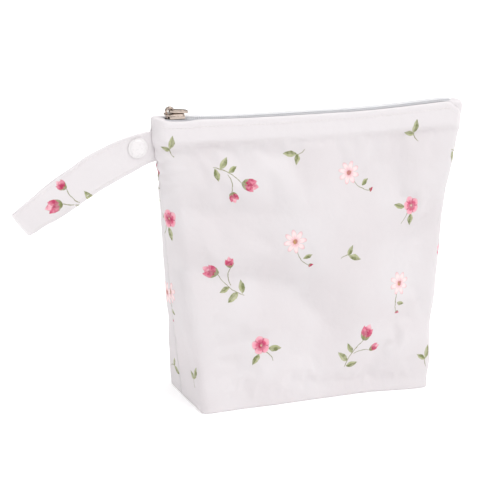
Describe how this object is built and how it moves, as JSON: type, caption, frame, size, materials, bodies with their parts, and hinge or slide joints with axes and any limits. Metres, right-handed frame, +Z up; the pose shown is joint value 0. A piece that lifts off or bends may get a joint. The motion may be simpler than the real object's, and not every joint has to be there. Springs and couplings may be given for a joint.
{
  "type": "waterproof bag",
  "caption": "Soft zip pouch with a boxed base, a closed zip along its top and a wrist strap looped from one side seam and fastened with a press stud.",
  "frame": {"origin": "the middle of the base, on the surface that the bag stands on", "axes": "+X along the zip, away from the strap; +Y from the front panel to the back panel; +Z up"},
  "size_m": [0.3244, 0.0672, 0.2067],
  "materials": {
    "printed_cloth": "coated cotton, off-white with a small scattered floral print, satin matte",
    "zip_tape": "woven tape, light grey",
    "zip_coil": "moulded coil, pale grey",
    "nickel": "polished nickel plating",
    "snap_plastic": "glossy white"
  },
  "bodies": {
    "bag": {"front_panel": "printed_cloth", "back_panel": "printed_cloth", "zip_tape_front": "zip_tape", "zip_tape_back": "zip_tape", "zip_coil": "zip_coil", "zip_slider": "nickel", "strap": "printed_cloth", "snap_cap_front": "snap_plastic", "snap_cap_back": "snap_plastic", "snap_post": "snap_plastic"},
    "puller": {"zip_puller": "nickel"}
  },
  "joints": [
    {"name": "puller_hinge", "type": "hinge", "parent": "bag", "child": "puller", "pos_m": [-0.103, 0, 0.20369], "axis": [0, -1, 0], "range_deg": [0, 176]}
  ]
}
